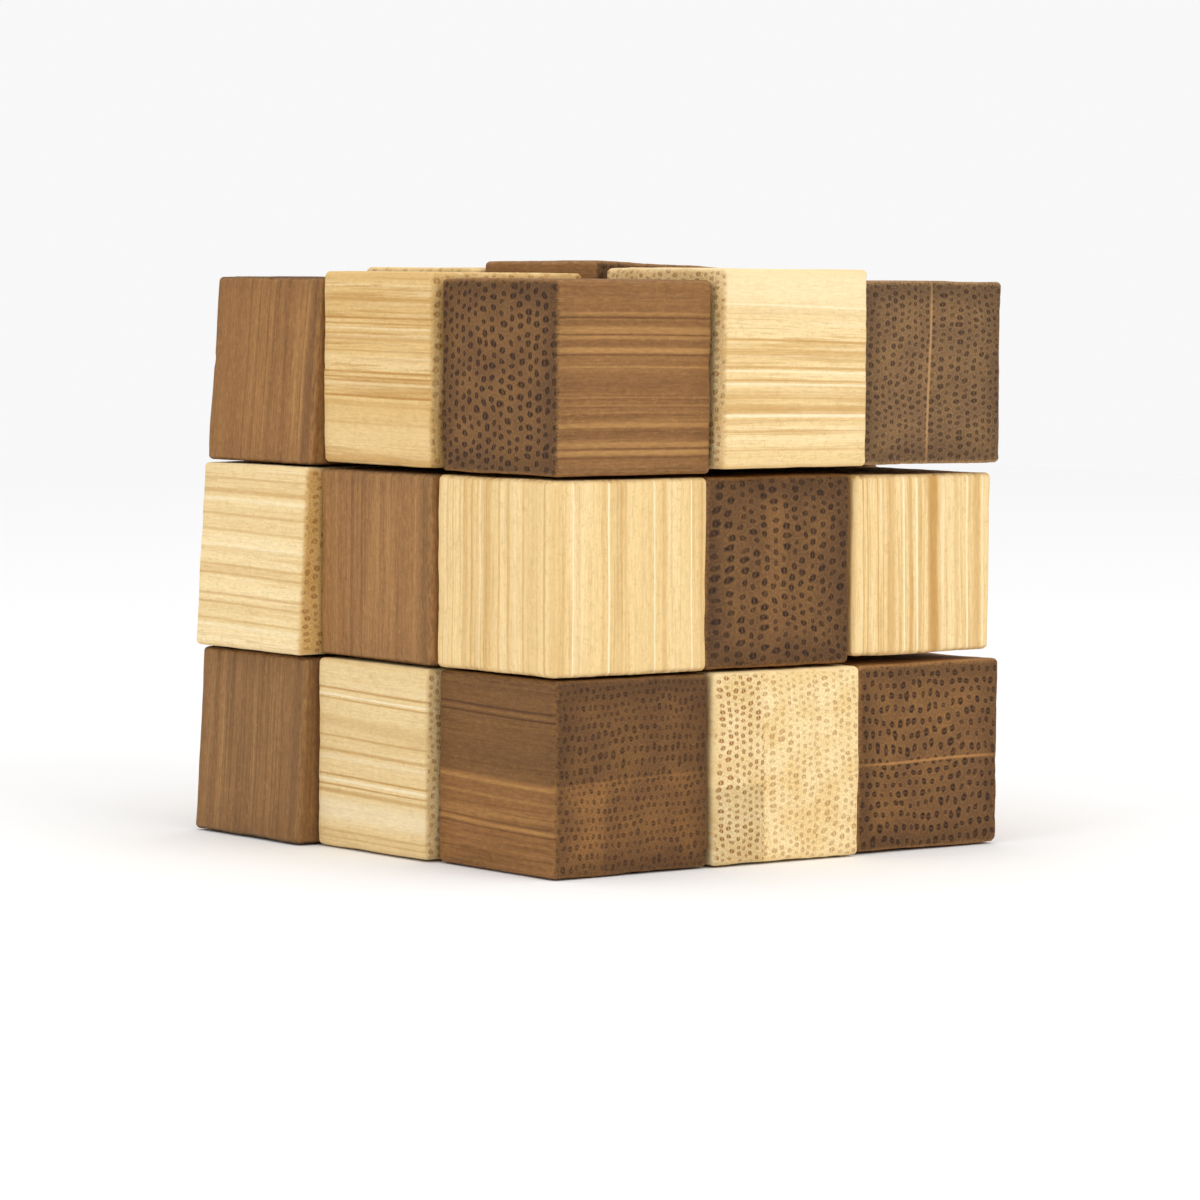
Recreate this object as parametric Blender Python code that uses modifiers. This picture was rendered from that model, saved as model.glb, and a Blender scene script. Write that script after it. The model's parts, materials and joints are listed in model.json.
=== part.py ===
"""Bamboo snake cube: 27 cubelets strung on one elastic cord and folded into a 3 x 3 x 3 cube.

Metres, +Z up.  The origin is the centre of the underside.  The front is -Y and the left side is -X.
The cord runs layer by layer: along X within a row, along Y from row to row and along Z from layer to layer.
"""
import math

import bmesh
import bpy
from mathutils import Matrix, Vector

MM = 0.001

# Driving dimensions
EDGE = 20.0 * MM            # one cubelet
SEAM = 0.3 * MM             # clearance between two cubelets
PITCH = EDGE + SEAM
EDGE_ROUND = 0.9 * MM       # worn edge radius
ROUND_STEPS = 2
BORE_RADIUS = 2.8 * MM
BORE_SIDES = 16
CORNER_OVERRUN = 1.2 * MM   # how far each arm of an elbow bore runs past the cubelet's centre
BLIND_OVERRUN = 5.0 * MM    # how far an end cubelet's bore runs past its centre
CORD_RADIUS = 1.0 * MM
CORD_SIDES = 12
CORD_SETBACK = 2.6 * MM     # a cord link stops this far short of each cubelet's centre
CORD_SPLIT = 0.15 * MM      # half the gap between the two halves of a layer link
PEG_RADIUS = 2.2 * MM
PEG_LENGTH = 3.6 * MM
PEG_SETBACK = 1.1 * MM      # from a cubelet's centre to the face of its peg
CELLS = 3

# How far each row has slid along X, as (layer, row) with layer 0 at the bottom and row 0 at the front
ROW_SHIFT = {
    (0, 1): -1.3 * MM,
    (0, 2): -2.2 * MM,
    (1, 1): 0.2 * MM,
    (1, 2): -2.2 * MM,
    (2, 1): -0.9 * MM,
    (2, 2): -1.1 * MM,
}

# How a cubelet sits off its place: (dx, dy, dz) in mm and yaw in degrees, by cell (x, y, layer)
SEAT = {
    (0, 0, 1): (-0.35, 0.0, 0.0, 0.0),
    (0, 1, 1): (-1.0, 0.0, 0.0, 0.0),
    (0, 1, 2): (0.0, 0.0, 0.45, -0.5),
    (0, 2, 0): (-0.4, 0.0, 0.0, 0.0),
    (0, 2, 1): (-0.4, 0.0, 0.0, 0.0),
    (1, 0, 0): (0.0, -0.7, 0.0, -0.5),
    (1, 0, 1): (-0.6, 0.3, 0.0, 0.0),
    (1, 0, 2): (0.0, -1.3, 0.87, 0.7),
    (1, 1, 2): (0.4, 0.0, 1.5, 0.0),
    (1, 2, 2): (0.0, 0.1, 1.15, 0.0),
    (2, 0, 1): (-1.0, 0.2, 0.2, 0.5),
    (2, 0, 2): (0.0, 0.0, 0.3, -0.6),
    (2, 2, 2): (0.0, 0.1, 0.2, 0.0),
}

# Cubelets cut a little off size: (x, y, z) in mm, by cell
TRIMMED = {
    (0, 0, 1): (19.9, 20.0, 19.9),
    (0, 0, 2): (20.0, 19.9, 19.9),
    (0, 1, 0): (19.9, 19.9, 20.0),
    (0, 1, 1): (20.2, 20.0, 19.9),
    (0, 1, 2): (19.8, 19.8, 20.3),
    (0, 2, 0): (20.4, 20.0, 20.0),
    (0, 2, 1): (20.4, 20.0, 20.0),
    (1, 0, 0): (19.7, 19.8, 20.0),
    (1, 0, 1): (19.6, 19.4, 19.9),
    (1, 0, 2): (19.7, 19.9, 20.6),
    (1, 1, 2): (19.2, 20.0, 20.3),
    (2, 0, 0): (20.0, 19.7, 19.9),
    (2, 0, 1): (19.6, 19.6, 19.1),
    (2, 0, 2): (19.7, 19.7, 19.4),
}

# Cubelets whose left end was sawn out of square: how far its foot stands out past its head, in mm
LEAN = {
    (0, 2, 0): 1.1,
    (0, 2, 1): 1.1,
    (0, 2, 2): 1.4,
}

# Cubelets tipped along their row, right side down, in degrees, by cell
TIP = {
    (1, 1, 2): 1.9,
}

DARK = {"colour": (0.19, 0.105, 0.058, 1.0), "roughness": 0.55}
LIGHT = {"colour": (0.80, 0.60, 0.30, 1.0), "roughness": 0.5}
ELASTIC = {"colour": (0.82, 0.80, 0.75, 1.0), "roughness": 0.8}
PEG_WOOD = {"colour": (0.70, 0.52, 0.33, 1.0), "roughness": 0.6}


def clear_scene():
    for thing in list(bpy.data.objects):
        bpy.data.objects.remove(thing, do_unlink=True)


def new_collection(name):
    group = bpy.data.collections.new(name)
    bpy.context.scene.collection.children.link(group)
    return group


def new_material(name, finish):
    material = bpy.data.materials.new(name)
    material.use_nodes = True
    shader = material.node_tree.nodes["Principled BSDF"]
    shader.inputs["Base Color"].default_value = finish["colour"]
    shader.inputs["Roughness"].default_value = finish["roughness"]
    shader.inputs["Metallic"].default_value = 0.0
    material.diffuse_color = finish["colour"]
    return material


def snake_path():
    """The 27 cells in the order in which the cord meets them."""
    floor = []
    for row in range(CELLS):
        run = range(CELLS) if row % 2 == 0 else reversed(range(CELLS))
        floor.extend((column, row) for column in run)
    cells = []
    for layer in range(CELLS):
        order = floor if layer % 2 == 0 else reversed(floor)
        cells.extend((column, row, layer) for column, row in order)
    return cells


def size_of(cell):
    return Vector(TRIMMED.get(cell, (20.0, 20.0, 20.0))) * MM


def centre_of(cell):
    """Where a cubelet's centre really is, with its row's slide and its own seat."""
    column, row, layer = cell
    middle = (CELLS - 1) / 2
    place = Vector(((column - middle) * PITCH, (row - middle) * PITCH, EDGE / 2 + layer * PITCH))
    place.x += ROW_SHIFT.get((layer, row), 0.0)
    dx, dy, dz, _ = SEAT.get(cell, (0.0, 0.0, 0.0, 0.0))
    return place + Vector((dx, dy, dz)) * MM


def turn_of(cell):
    """How a cubelet is turned in its seat: tipped along its row, then turned about the vertical."""
    yaw = math.radians(SEAT.get(cell, (0.0, 0.0, 0.0, 0.0))[3])
    tip = math.radians(TIP.get(cell, 0.0))
    return Matrix.Rotation(yaw, 3, "Z") @ Matrix.Rotation(tip, 3, "Y")


def direction(start, end):
    """Unit step from one cell to the next along the cord."""
    return Vector([b - a for a, b in zip(start, end)])


def link_point(start, end):
    """Middle of the seam that the cord crosses between two neighbouring cubelets."""
    return (centre_of(start) + centre_of(end)) / 2


def add_object(name, mesh, group, place):
    thing = bpy.data.objects.new(name, mesh)
    thing.location = place
    group.objects.link(thing)
    return thing


def mesh_from(name, shape):
    mesh = bpy.data.meshes.new(name)
    shape.to_mesh(mesh)
    shape.free()
    return mesh


def box_mesh(name, size, offset, lean):
    shape = bmesh.new()
    bmesh.ops.create_cube(shape, size=1.0, matrix=Matrix.Diagonal((*size, 1.0)))
    for corner in shape.verts:
        if corner.co.x < 0:
            corner.co.x += lean * corner.co.z / size.z
    bmesh.ops.translate(shape, verts=shape.verts, vec=offset)
    return mesh_from(name, shape)


def rod_mesh(name, length, radius, sides):
    """A closed round bar along Z, with its middle at the origin."""
    shape = bmesh.new()
    bmesh.ops.create_cone(
        shape, cap_ends=True, segments=sides, radius1=radius, radius2=radius, depth=length,
        matrix=Matrix.Rotation(math.pi / sides, 4, "Z"),
    )
    return mesh_from(name, shape)


def add_rod(name, start, end, radius, sides, group):
    """A round bar from start to end, placed by its location and rotation."""
    rod = add_object(name, rod_mesh(name, (end - start).length, radius, sides), group, (start + end) / 2)
    rod.rotation_mode = "QUATERNION"
    rod.rotation_quaternion = (end - start).to_track_quat("Z", "Y")
    return rod


def shade_smooth(thing):
    for face in thing.data.polygons:
        face.use_smooth = len(face.vertices) == 4


def hinge_point(index, cells):
    """Where a cubelet's own origin goes: on the cord link that it swings about, or its centre."""
    place = centre_of(cells[index]).copy()
    middle = len(cells) // 2
    inner = index + 1 if index < middle else index - 1
    if index != middle:
        step = direction(cells[index], cells[inner])
        seam = link_point(cells[index], cells[inner])
        if step.y != 0:
            place.x, place.z = seam.x, seam.z
        if step.z != 0:
            place.x, place.y = seam.x, seam.y
    return place


def bore_ends(index, cells):
    """Start and end of each bore in a cubelet, from outside a face to past the centre."""
    centre = centre_of(cells[index])
    reach = EDGE
    sides = []
    for other in (index - 1, index + 1):
        if 0 <= other < len(cells):
            sides.append(direction(cells[index], cells[other]))
    if len(sides) == 1:
        return [(centre + sides[0] * reach, centre - sides[0] * BLIND_OVERRUN)]
    if sides[0] == -sides[1]:
        return [(centre + sides[0] * reach, centre + sides[1] * reach)]
    return [(centre + side * reach, centre - side * CORNER_OVERRUN) for side in sides]


def build_cubelet(index, cells, group, cutters):
    name = f"cubelet_{index + 1:02d}"
    cell = cells[index]
    origin = hinge_point(index, cells)
    turn = turn_of(cell)
    offset = turn.inverted() @ (centre_of(cell) - origin)
    shape = box_mesh(name, size_of(cell), offset, LEAN.get(cell, 0.0) * MM)
    body = add_object(name, shape, group, origin)
    body.rotation_euler = turn.to_euler()
    edges = body.modifiers.new("worn edges", "BEVEL")
    edges.width = EDGE_ROUND
    edges.segments = ROUND_STEPS
    edges.limit_method = "ANGLE"
    for number, (start, end) in enumerate(bore_ends(index, cells)):
        tool = add_rod(f"{name}_bore_{number + 1}", start, end, BORE_RADIUS, BORE_SIDES, cutters)
        tool.hide_render = True
        tool.display_type = "WIRE"
        cut = body.modifiers.new("bore", "BOOLEAN")
        cut.operation = "DIFFERENCE"
        cut.solver = "EXACT"
        cut.object = tool
    finish = DARK if sum(cell) % 2 == 0 else LIGHT
    body.data.materials.append(new_material(name, finish))
    return body


def build_cord(name, start, end, group):
    cord = add_rod(name, start, end, CORD_RADIUS, CORD_SIDES, group)
    shade_smooth(cord)
    cord.data.materials.append(new_material(name, ELASTIC))
    return cord


def build_link(index, cells, group):
    """The stretch of cord between one cubelet and the next.  A layer link is two halves, end to end."""
    name = f"cord_link_{index + 1:02d}"
    step = direction(cells[index], cells[index + 1])
    seam = link_point(cells[index], cells[index + 1])
    across = PITCH / 2 - CORD_SETBACK
    if step.z == 0:
        build_cord(name, seam - step * across, seam + step * across, group)
        return
    build_cord(name, seam - step * across, seam - step * CORD_SPLIT, group)
    build_cord(name + "_upper", seam + step * CORD_SPLIT, seam + step * across, group)


def build_peg(name, index, inner, cells, group):
    """A short dowel that traps the cord's end at the bottom of an end cubelet's blind bore."""
    step = direction(cells[index], cells[inner])
    centre = centre_of(cells[index])
    face = centre - step * PEG_SETBACK
    tail = face - step * PEG_LENGTH
    peg = add_rod(name, tail, face, PEG_RADIUS, CORD_SIDES, group)
    shade_smooth(peg)
    peg.data.materials.append(new_material(name, PEG_WOOD))
    return peg


def main():
    clear_scene()
    group = new_collection("snake_cube")
    cutters = new_collection("cutters")
    cutters.hide_render = True
    cells = snake_path()
    for index in range(len(cells)):
        build_cubelet(index, cells, group, cutters)
    for index in range(len(cells) - 1):
        build_link(index, cells, group)
    build_peg("start_peg", 0, 1, cells, group)
    build_peg("end_peg", len(cells) - 1, len(cells) - 2, cells, group)


main()
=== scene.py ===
"""Looks of the bamboo snake cube: worn bamboo cubelets, the braided elastic cord and the end pegs."""
import json
import math

import bmesh
import bpy
import numpy as np
from mathutils import Matrix, Quaternion, Vector

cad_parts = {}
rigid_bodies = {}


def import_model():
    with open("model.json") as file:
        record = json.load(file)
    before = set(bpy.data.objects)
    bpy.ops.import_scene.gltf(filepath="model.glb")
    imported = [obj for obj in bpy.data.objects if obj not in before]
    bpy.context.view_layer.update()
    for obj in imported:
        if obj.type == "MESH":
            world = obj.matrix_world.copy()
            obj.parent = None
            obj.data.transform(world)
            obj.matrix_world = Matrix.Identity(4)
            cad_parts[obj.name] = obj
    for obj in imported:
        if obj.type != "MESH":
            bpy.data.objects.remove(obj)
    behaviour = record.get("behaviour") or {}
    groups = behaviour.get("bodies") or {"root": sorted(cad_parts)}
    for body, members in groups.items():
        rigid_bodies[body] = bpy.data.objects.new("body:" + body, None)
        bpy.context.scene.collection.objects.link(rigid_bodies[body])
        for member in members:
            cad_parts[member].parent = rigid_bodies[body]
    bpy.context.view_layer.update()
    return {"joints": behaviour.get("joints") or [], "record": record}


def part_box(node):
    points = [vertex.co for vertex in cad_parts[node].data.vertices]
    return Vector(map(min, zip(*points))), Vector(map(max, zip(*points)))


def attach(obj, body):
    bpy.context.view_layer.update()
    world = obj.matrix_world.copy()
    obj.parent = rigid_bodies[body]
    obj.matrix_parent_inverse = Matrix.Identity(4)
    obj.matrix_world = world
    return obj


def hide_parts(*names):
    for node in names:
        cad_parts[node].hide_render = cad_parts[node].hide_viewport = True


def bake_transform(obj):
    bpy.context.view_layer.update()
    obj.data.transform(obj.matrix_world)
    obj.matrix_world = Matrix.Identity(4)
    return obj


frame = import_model()

MM = 0.001
AXES = {"x": 0, "y": 1, "z": 2}

# Cubelet mesh
EDGE_RADIUS = 0.55 * MM
SWELL = 0.02 * MM            # the worn faces stand this far outside the CAD cubelet
ROUND_STEPS = 4              # grid steps over half of a rounded edge
FLAT_STEPS = 34              # grid steps over the flat of a face
SKIRT_RINGS = ROUND_STEPS + 2
BORE_RADIUS = 2.8 * MM
BORE_RINGS = 12              # from the skirt of a drilled face in to the bore's rim
BORE_SIDES = 48
BORE_LIP = 1.2 * MM          # the wall's first stretch, with closer rings
BORE_DEPTH = 9.4 * MM
WELD_DISTANCE = 0.002 * MM

# Relief of the worn wood, in mm: how deep each kind goes, and the size of its pattern
PROUD = 0.06                 # most that a ridge rises above the worn face
GRAIN_BEND = (0.3, 30.0)     # slow bend of the ridges
RIDGES = (0.022, 2.6)        # along the grain, higher over the edges
RIDGE_LEAST = 0.6            # of the full height on the plainest stick
RIDGE_AT_EDGE = 1.5
HOLLOWS = (0.035, 14.0)
SCALLOPS = (0.05, 1.15)      # bitten out of the edges of the ends
CHIPS = (0.10, 1.6)
CHIP_RARITY = 1.25
EDGE_WEAR = (0.03, 5.0)
FINE_WAVES = 24
WEAR_REACH = 0.5 * MM        # worn band along an edge
RIM_REACH = 2.2 * MM         # scorched band along an edge

# How some cubelets sit, by cell: turned about the vertical and tipped along their row, in degrees, and
#   the lean of the left face, in mm over its height
YAWS = {(0, 1, 2): -0.5, (1, 0, 0): -0.5, (1, 0, 2): 0.7, (2, 0, 1): 0.5, (2, 0, 2): -0.6}
TIPS = {(1, 1, 2): 1.9}
LEANS = {(0, 2, 0): 1.1, (0, 2, 1): 1.1, (0, 2, 2): 1.4}

# Bamboo structure, in mm
BUNDLE_PITCH = 1.16
ROW_PITCH = 1.58
BUNDLE_REACH = (0.50, 0.40)  # half a bundle's size, across the rows and along them
BUNDLE_JITTER = (0.24, 0.32)  # how far a bundle strays from its place, as a share of the spacing
CROWDING = (0.85, 0.30)      # rows stand closer together towards a strip's outer side
DRIFT = (0.12, 1.6, 2.0)     # slow bend of the rows: scale, rows, mm along them
WARP = (0.42, 1.1)           # quick bend of the rows: scale, rows
WANDER = 1.6                 # the slow bend of the whole grain
STRIP_OFFSET = 40.0          # keeps the strips' numbers above zero
GLUE_REACH = (0.24, 0.06)    # a glue line's half width, outside and inside its soft edge
RAGGED = 3.4                 # scale of a bundle's ragged outline
RAGGED_SHARE = 0.7
SOFT_STEP = 0.2              # soft edge of a block of strips

# A cubelet's stick, by cell: column 0 at the left, row 0 at the front and layer 0 at the bottom.
#   grain, across   the axes along the grain and across the strips
#   strip, start    a strip's thickness and where the strips start, in mm
#   tone, warm      brightness, and how much less blue there is
#   stripes         strength of the streaks, 0 to 1
#   dots            strength of the bundles on the ends
#   pitch           the bundles' spacing, as a share of the usual one
#   side            brightness of the long-grain faces
#   end_tone, end_warm   brightness and warmth of the ends
#   band            a paler band on the ends: place, half width, strength
#   split           a step between two strips: place, brightness before it and after it
#   patch           a block of another strip: its two far sides, brightness
#   bold            the bundles are stronger on the near side of this place
#   glue            strength of the glue lines
STICKS = {
    (0, 2, 2): dict(grain="z", across="x", strip=24.0, start=2.0, tone=1.02, warm=0.1, stripes=0.45, seed=1),
    (0, 1, 2): dict(grain="y", across="x", strip=24.0, start=3.0, tone=0.87, warm=0.18, stripes=0.7, seed=2),
    (0, 0, 2): dict(
        grain="x", across="y", strip=24.0, start=-4.0, tone=1.04, warm=0.1, stripes=0.5, seed=3,
        dots=1.2, side=0.86,
    ),
    (1, 0, 2): dict(
        grain="x", across="y", strip=24.0, start=-4.0, tone=1.01, warm=-0.04, stripes=0.5, seed=4,
        pitch=0.75,
    ),
    (2, 0, 2): dict(
        grain="y", across="x", strip=12.0, start=8.5, tone=1.20, warm=-0.35, stripes=0.3, seed=5,
        dots=0.85, pitch=0.76,
    ),
    (0, 2, 1): dict(
        grain="y", across="x", strip=12.0, start=9.0, tone=1.02, warm=-0.14, stripes=0.25, seed=6,
        pitch=0.8, end_tone=0.90, end_warm=0.35,
    ),
    (0, 1, 1): dict(grain="z", across="x", strip=24.0, start=5.0, tone=1.08, warm=-0.03, stripes=0.3, seed=7),
    (0, 0, 1): dict(grain="z", across="y", strip=24.0, start=-4.0, tone=1.04, stripes=0.55, seed=8),
    (1, 0, 1): dict(
        grain="y", across="x", strip=24.0, start=-4.0, tone=0.90, warm=0.1, stripes=0.2, seed=9,
        dots=0.98, band=(-0.6, 2.0, 0.30),
    ),
    (2, 0, 1): dict(grain="z", across="y", strip=24.0, start=-4.0, tone=1.0, stripes=0.5, seed=10),
    (0, 2, 0): dict(grain="z", across="x", strip=24.0, start=3.0, tone=0.9, warm=-0.05, stripes=0.5, seed=11),
    (0, 1, 0): dict(
        grain="y", across="x", strip=24.0, start=7.0, tone=0.98, warm=-0.08, stripes=0.5, seed=12,
        pitch=0.8,
    ),
    (0, 0, 0): dict(
        grain="y", across="z", strip=13.0, start=-0.7, tone=1.09, warm=0.2, stripes=0.4, seed=13,
        dots=0.76, side=0.62, split=(-0.3, 1.05, 0.86), patch=(-0.3, -3.4, 1.22), pitch=0.70, glue=0.15,
    ),
    (1, 0, 0): dict(
        grain="y", across="x", strip=6.8, start=-2.8, tone=1.12, warm=-0.14, stripes=0.4, seed=14,
        dots=0.62, pitch=0.7, glue=0.12, split=(-3.2, 0.98, 1.05), patch=(-3.2, -1.6, 0.86), bold=-3.2,
    ),
    (2, 0, 0): dict(
        grain="y", across="z", strip=12.0, start=8.6, tone=1.10, warm=0.12, stripes=0.3, seed=15,
        dots=1.08, pitch=0.95,
    ),
    (1, 1, 2): dict(grain="y", across="z", strip=24.0, start=-4.0, tone=0.95, stripes=0.4, seed=16),
    (1, 2, 2): dict(grain="x", across="y", strip=10.0, start=4.0, tone=1.0, stripes=0.5, seed=17),
    (2, 1, 2): dict(grain="x", across="y", strip=10.0, start=1.0, tone=1.03, stripes=0.8, seed=18),
}

# Streaks that stand out on a cubelet's long-grain faces, by cell and by the axis that they are spread
#   along: (place in mm from the cubelet's centre, half width in mm, strength), below zero for a dark one
STREAKS = {
    (0, 0, 2): {"z": [
        (6.3, 0.20, 0.5), (5.87, 0.12, -0.9), (5.3, 0.4, -0.3), (4.6, 0.45, 0.65), (4.13, 0.09, -0.6),
        (3.84, 0.20, 0.65), (3.2, 0.35, -0.25), (2.55, 0.32, 0.85), (2.1, 0.12, -0.6), (0.86, 0.12, 0.6),
        (-0.6, 0.9, -0.3), (-2.2, 0.12, 0.4), (-3.0, 0.12, 0.4), (-5.0, 0.26, 0.75), (-6.2, 0.5, -0.25),
        (-7.0, 0.26, 0.65), (-7.45, 0.14, -0.6), (-7.8, 0.28, 0.85), (-8.3, 0.16, -0.6),
    ]},
    (1, 0, 2): {"z": [
        (8.0, 3.0, 0.45), (6.2, 0.10, 0.8), (2.6, 0.16, -0.75), (1.6, 0.13, -0.45), (-0.2, 0.18, -0.7),
        (-0.6, 0.14, 0.8), (-1.5, 0.12, -0.6), (-1.9, 0.15, 0.8), (-3.0, 0.7, -0.4), (-4.4, 0.40, -0.65),
        (-5.1, 0.20, 0.9), (-6.7, 0.13, -0.5), (-8.6, 0.13, -0.35),
    ]},
    (0, 1, 2): {"z": [
        (8.6, 0.12, -0.35), (7.2, 0.2, -0.3), (5.4, 0.16, -0.85), (4.8, 0.13, -0.7), (4.3, 0.14, 0.6),
        (3.2, 0.3, -0.45), (1.95, 0.12, -0.5), (1.2, 0.3, 0.4), (-0.3, 0.16, -0.9), (-0.85, 0.14, -0.85),
        (-1.5, 0.2, 0.5), (-2.8, 0.16, -0.95), (-3.6, 0.35, -0.35), (-5.6, 0.16, -0.3), (-7.2, 2.2, 0.25),
    ]},
    (0, 2, 1): {"z": [
        (8.1, 0.16, -0.55), (6.7, 0.32, -0.6), (5.8, 0.25, 0.5), (4.2, 0.16, -0.5), (2.5, 0.2, -0.4),
        (0.9, 0.25, 0.4), (-1.2, 0.16, -0.5), (-2.1, 0.18, -0.55), (-4.3, 0.18, -0.6), (-5.2, 0.16, -0.5),
        (-7.0, 0.15, -0.5), (-7.7, 0.3, 0.4),
    ]},
    (0, 1, 0): {"z": [
        (6.8, 0.16, -0.85), (6.1, 0.14, 0.9), (5.7, 0.12, -0.75), (3.4, 0.6, -0.25), (1.7, 0.14, -0.65),
        (0.2, 0.2, -0.7), (-0.5, 0.3, 0.4), (-2.4, 0.14, -0.9), (-2.9, 0.18, 0.9), (-3.45, 0.12, -0.9),
        (-4.1, 0.28, -0.7), (-6.0, 1.4, 0.6), (-8.3, 0.16, -0.45), (-9.0, 0.12, -0.45),
    ]},
    (0, 0, 1): {
        "x": [
            (-7.8, 0.10, 1.0), (-7.1, 0.4, -0.25), (-3.15, 0.14, 1.0), (-1.8, 0.45, -0.4), (2.86, 0.10, 1.0),
            (4.2, 0.35, -0.4), (7.7, 0.10, 1.0), (9.0, 0.25, -0.25),
        ],
        "y": [
            (7.4, 0.12, -0.5), (5.2, 0.5, -0.5), (4.1, 0.12, -0.6), (2.6, 0.12, 0.6), (1.4, 0.14, -0.5),
            (-0.8, 0.2, -0.5), (-2.4, 0.3, -0.45), (-5.0, 0.12, -0.5), (-8.6, 0.2, -0.6),
        ],
    },
    (2, 0, 1): {"x": [
        (-8.8, 0.10, -0.8), (-8.2, 0.10, -0.8), (-6.7, 0.10, -0.8), (-6.0, 0.10, -0.6), (-4.8, 0.7, -0.45),
        (-2.9, 0.12, 1.0), (-1.9, 0.3, -0.7), (-1.0, 0.16, 1.0), (1.45, 0.9, -1.0), (2.9, 0.3, 0.5),
        (4.9, 0.35, -0.35), (6.5, 0.14, 0.9), (7.9, 0.6, -0.55), (8.8, 0.12, 0.8),
    ]},
    (0, 0, 0): {"z": [
        (6.9, 0.16, -0.9), (6.5, 0.12, 0.4), (6.1, 0.14, -0.9), (-0.7, 0.25, 0.7), (-2.2, 0.2, 0.4),
        (-4.7, 0.12, -0.6), (-5.1, 0.2, 0.8), (-5.5, 0.12, -0.7), (-8.0, 0.12, -0.5),
    ]},
    (0, 2, 2): {"y": [(3.0, 0.2, -0.45), (-0.5, 0.12, -0.35), (-4.2, 0.2, -0.35), (-9.0, 0.9, -0.6)]},
    (0, 1, 1): {"y": [(4.4, 0.3, -0.55), (2.7, 0.16, -0.35), (-8.8, 1.0, -0.45), (-7.0, 0.14, 0.3)]},
    (0, 2, 0): {"y": [(7.0, 0.3, -0.3), (1.0, 0.14, -0.4), (-1.5, 0.2, -0.35), (-9.0, 0.8, -0.4)]},
}

# Colours as sRGB, 0 to 255
DARK_PALETTE = dict(
    base=(158, 114, 68), deep=(114, 77, 44), pale=(192, 146, 88), ground=(127, 91, 52),
    far_ground=(111, 78, 47), bundle=(42, 23, 11), glue=(176, 128, 76),
)
LIGHT_PALETTE = dict(
    base=(238, 208, 150), deep=(196, 150, 84), pale=(250, 230, 188), ground=(234, 204, 148),
    far_ground=(222, 187, 124), bundle=(146, 90, 36), glue=(204, 160, 92),
)

# Fibre noises: scale across the grain per mm, scale along it, shift, detail
FIBRES = {
    "bands": (0.30, 0.004, 0.0, 1.0),
    "lines": (0.95, 0.010, 11.0, 2.0),
    "fine": (2.6, 0.035, 23.0, 2.0),
    "fibre": (6.5, 0.25, 37.0, 2.0),
    "striped": (0.16, 0.006, 51.0, 0.0),
    "uneven": (0.6, 0.12, 71.0, 1.0),
}
# What the fibre noises lay on the side colour, in order: noise, where it starts and is full, its share
#   everywhere and its further share in the striped parts, colour, gain
SIDE_LAYERS = (
    ("bands", 0.56, 0.36, 0.16, 0.22, "deep"),
    ("bands", 0.50, 0.68, 0.10, 0.20, "pale"),
    ("lines", 0.55, 0.64, 0.10, 0.55, "deep"),
    ("lines", 0.42, 0.34, 0.08, 0.50, "pale"),
    ("fine", 0.56, 0.63, 0.14, 0.55, "deep"),
    ("fine", 0.44, 0.34, 0.08, 0.30, "pale"),
    ("fibre", 0.54, 0.70, 0.18, 0.25, "scorched"),
)
SCORCHED = 0.85              # brightness of the darkest fibres, as a share of the deep colour
FUZZ_SHARE = 0.30
MOTTLE = ((0.72, 0.70, 0.68, 1), (1.11, 1.11, 1.11, 1))
MOTTLE_SHARE = {True: 0.45, False: 0.22}  # on dark and on light bamboo
MOTTLE_ON_ENDS = 0.4
SCORCH_SHARE = (0.14, 0.34)  # darkening along a dark cubelet's edges: everywhere, and further on its ends
WEAR_SHARE = 0.22
BORE_PAINTED_SHADE = (0.4, 0.8)      # painted shade inside the bores: how much a bore's wall darkens, and its gain

# Cord and pegs
BRAID_PITCH = 1.9 * MM
BRAID_STRANDS = 5
TURNED_RIDGES = 9
CORD_RELIEF = 0.07           # share of the radius
PEG_RELIEF = 0.03
ROD_SIDES = 40
ROD_STEP = 0.22 * MM
ROD_CROWN = 0.35 * MM        # length of the rounding at each end
ROD_TIP = 0.45               # radius of an end, as a share of the full one
CAD_ROD_SIDES = 12           # the CAD rods are prisms, whose boxes are narrower than their circle

# Studio, in metres, watts and degrees
FLOOR_SIZE = 1.6
FLOOR_DROP = 0.2 * MM
FLOOR_COLOUR = (0.90, 0.90, 0.90)
SKY_STRENGTH = 0.55
BACKDROP_COLOUR = (0.94, 0.94, 0.94, 1)
CUBE_MIDDLE = Vector((0, 0, 0.03))
SOFTBOXES = {"key": ((0.15, -0.75, 0.45), 2.2), "left_fill": ((-0.80, -0.10, 0.35), 1.8)}
SOFTBOX_SIZE = 0.5
OVERHEAD_STRENGTH = 1.5
OVERHEAD_SPREAD = 80

# Camera: a long lens a little over half a metre away, about level with the cube's top
CAMERA_AZIMUTH = -38.0
CAMERA_ELEVATION = 3.67
CAMERA_ROLL = 0.41
CAMERA_DISTANCE = 540 * MM
CAMERA_TARGET = Vector((0, 0, 30.3 * MM))
CAMERA_SHIFT = (-0.84 * MM, -4.66 * MM)  # to its right and upwards
CAMERA_LENS = 148.4
CAMERA_SENSOR = 36.0


def path_cells():
    """The 27 cells in the order in which the cord meets them."""
    floor = []
    for row in range(3):
        run = range(3) if row % 2 == 0 else (2, 1, 0)
        floor.extend((column, row) for column in run)
    cells = []
    for layer in range(3):
        order = floor if layer % 2 == 0 else floor[::-1]
        cells.extend((column, row, layer) for column, row in order)
    return cells


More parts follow.
